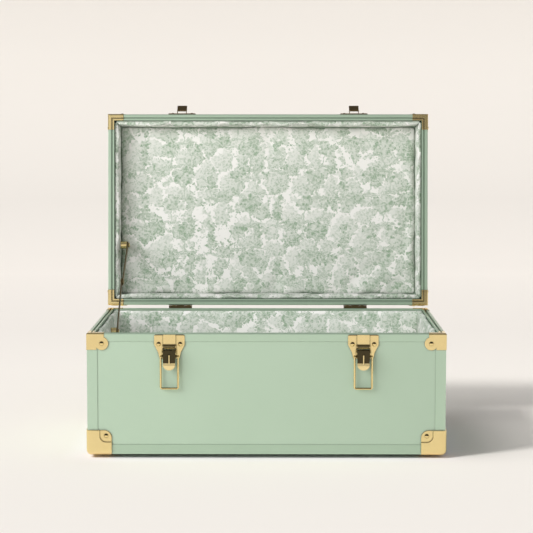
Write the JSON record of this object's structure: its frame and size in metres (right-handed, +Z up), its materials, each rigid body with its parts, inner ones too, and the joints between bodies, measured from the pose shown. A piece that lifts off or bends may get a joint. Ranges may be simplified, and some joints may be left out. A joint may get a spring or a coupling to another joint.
{
  "type": "trunk",
  "caption": "Boarded storage trunk with a hinged lid held open by a folding stay, padded patterned lining, brass corners and draw latches with wire bails.",
  "frame": {"origin": "centre of the bottom board's underside; the feet reach below it", "axes": "+X along the length to the right of someone facing the latches, +Y from the latches to the hinges, +Z up"},
  "size_m": [0.615, 0.4799, 0.5983],
  "materials": {
    "painted_board": "plywood board covered in sage green coated cloth, satin",
    "painted_strip": "aluminium extrusion and folded strip painted sage green, satin",
    "brass": "polished brass",
    "lining": "printed cotton over thin padding, off-white with sage green",
    "rubber": "matte black"
  },
  "bodies": {
    "base": {"base_back_liner": "lining", "base_back_panel": "painted_board", "base_bottom_binding": "painted_strip", "base_bottom_corner_back_left": "brass", "base_bottom_corner_back_right": "brass", "base_bottom_corner_front_left": "brass", "base_bottom_corner_front_right": "brass", "base_bottom_panel": "painted_board", "base_corner_bindings": "painted_strip", "base_floor_liner": "lining", "base_front_liner": "lining", "base_front_panel": "painted_board", "base_left_liner": "lining", "base_left_panel": "painted_board", "base_right_liner": "lining", "base_right_panel": "painted_board", "base_rim_channel": "painted_strip", "base_rim_corners": "brass", "feet": "rubber", "hinge_pins": "brass", "latch_pivot_pins": "brass", "left_hinge_base_leaf": "brass", "left_latch_plate": "brass", "right_hinge_base_leaf": "brass", "right_latch_plate": "brass", "stay_base_bracket": "brass", "stay_base_pin": "brass"},
    "left_lever": {"left_latch_lever": "brass"},
    "right_lever": {"right_latch_lever": "brass"},
    "left_bail": {"left_latch_bail": "brass"},
    "right_bail": {"right_latch_bail": "brass"},
    "stay_lower": {"stay_lower_link": "brass", "stay_knuckle_rivet": "brass"},
    "stay_upper": {"stay_upper_link": "brass", "stay_knuckle_cap": "brass"},
    "lid": {"lid_front_panel": "painted_board", "lid_back_panel": "painted_board", "lid_left_panel": "painted_board", "lid_right_panel": "painted_board", "lid_top_panel": "painted_board", "lid_rim_channel": "painted_strip", "lid_top_binding": "painted_strip", "lid_corner_bindings": "painted_strip", "lid_top_corners": "brass", "lid_rim_corners": "brass", "left_catch": "brass", "right_catch": "brass", "left_hinge_lid_leaf": "brass", "right_hinge_lid_leaf": "brass", "lid_front_liner": "lining", "lid_back_liner": "lining", "lid_left_liner": "lining", "lid_right_liner": "lining", "lid_top_liner": "lining", "stay_lid_bracket": "brass", "stay_lid_pin": "brass"}
  },
  "joints": [
    {"name": "lid_hinge", "type": "hinge", "parent": "base", "child": "lid", "pos_m": [0, 0.1864, 0.2076], "axis": [1, 0, 0], "range_deg": [0, 95]},
    {"name": "left_lever_pivot", "type": "hinge", "parent": "base", "child": "left_lever", "pos_m": [-0.1644, -0.19, 0.1748], "axis": [-1, 0, 0], "range_deg": [0, 130]},
    {"name": "left_bail_pivot", "type": "hinge", "parent": "left_lever", "child": "left_bail", "pos_m": [-0.1644, -0.188, 0.1671], "axis": [1, 0, 0], "range_deg": [-182, 0]},
    {"name": "right_lever_pivot", "type": "hinge", "parent": "base", "child": "right_lever", "pos_m": [0.1644, -0.19, 0.1748], "axis": [-1, 0, 0], "range_deg": [0, 130]},
    {"name": "right_bail_pivot", "type": "hinge", "parent": "right_lever", "child": "right_bail", "pos_m": [0.1644, -0.188, 0.1671], "axis": [1, 0, 0], "range_deg": [-182, 0]},
    {"name": "stay_base_pivot", "type": "hinge", "parent": "base", "child": "stay_lower", "pos_m": [-0.2718, 0.019, 0.1833], "axis": [1, 0, 0], "range_deg": [-69, 0]},
    {"name": "stay_lid_pivot", "type": "hinge", "parent": "lid", "child": "stay_upper", "pos_m": [-0.2693, 0.22168, 0.32397], "axis": [1, 0, 0], "range_deg": [-4.6, 0]}
  ],
  "couplings": [
    {"joint": "stay_base_pivot", "follows": "lid_hinge", "ratio": -0.72535},
    {"joint": "stay_lid_pivot", "follows": "lid_hinge", "ratio": -0.04801}
  ]
}
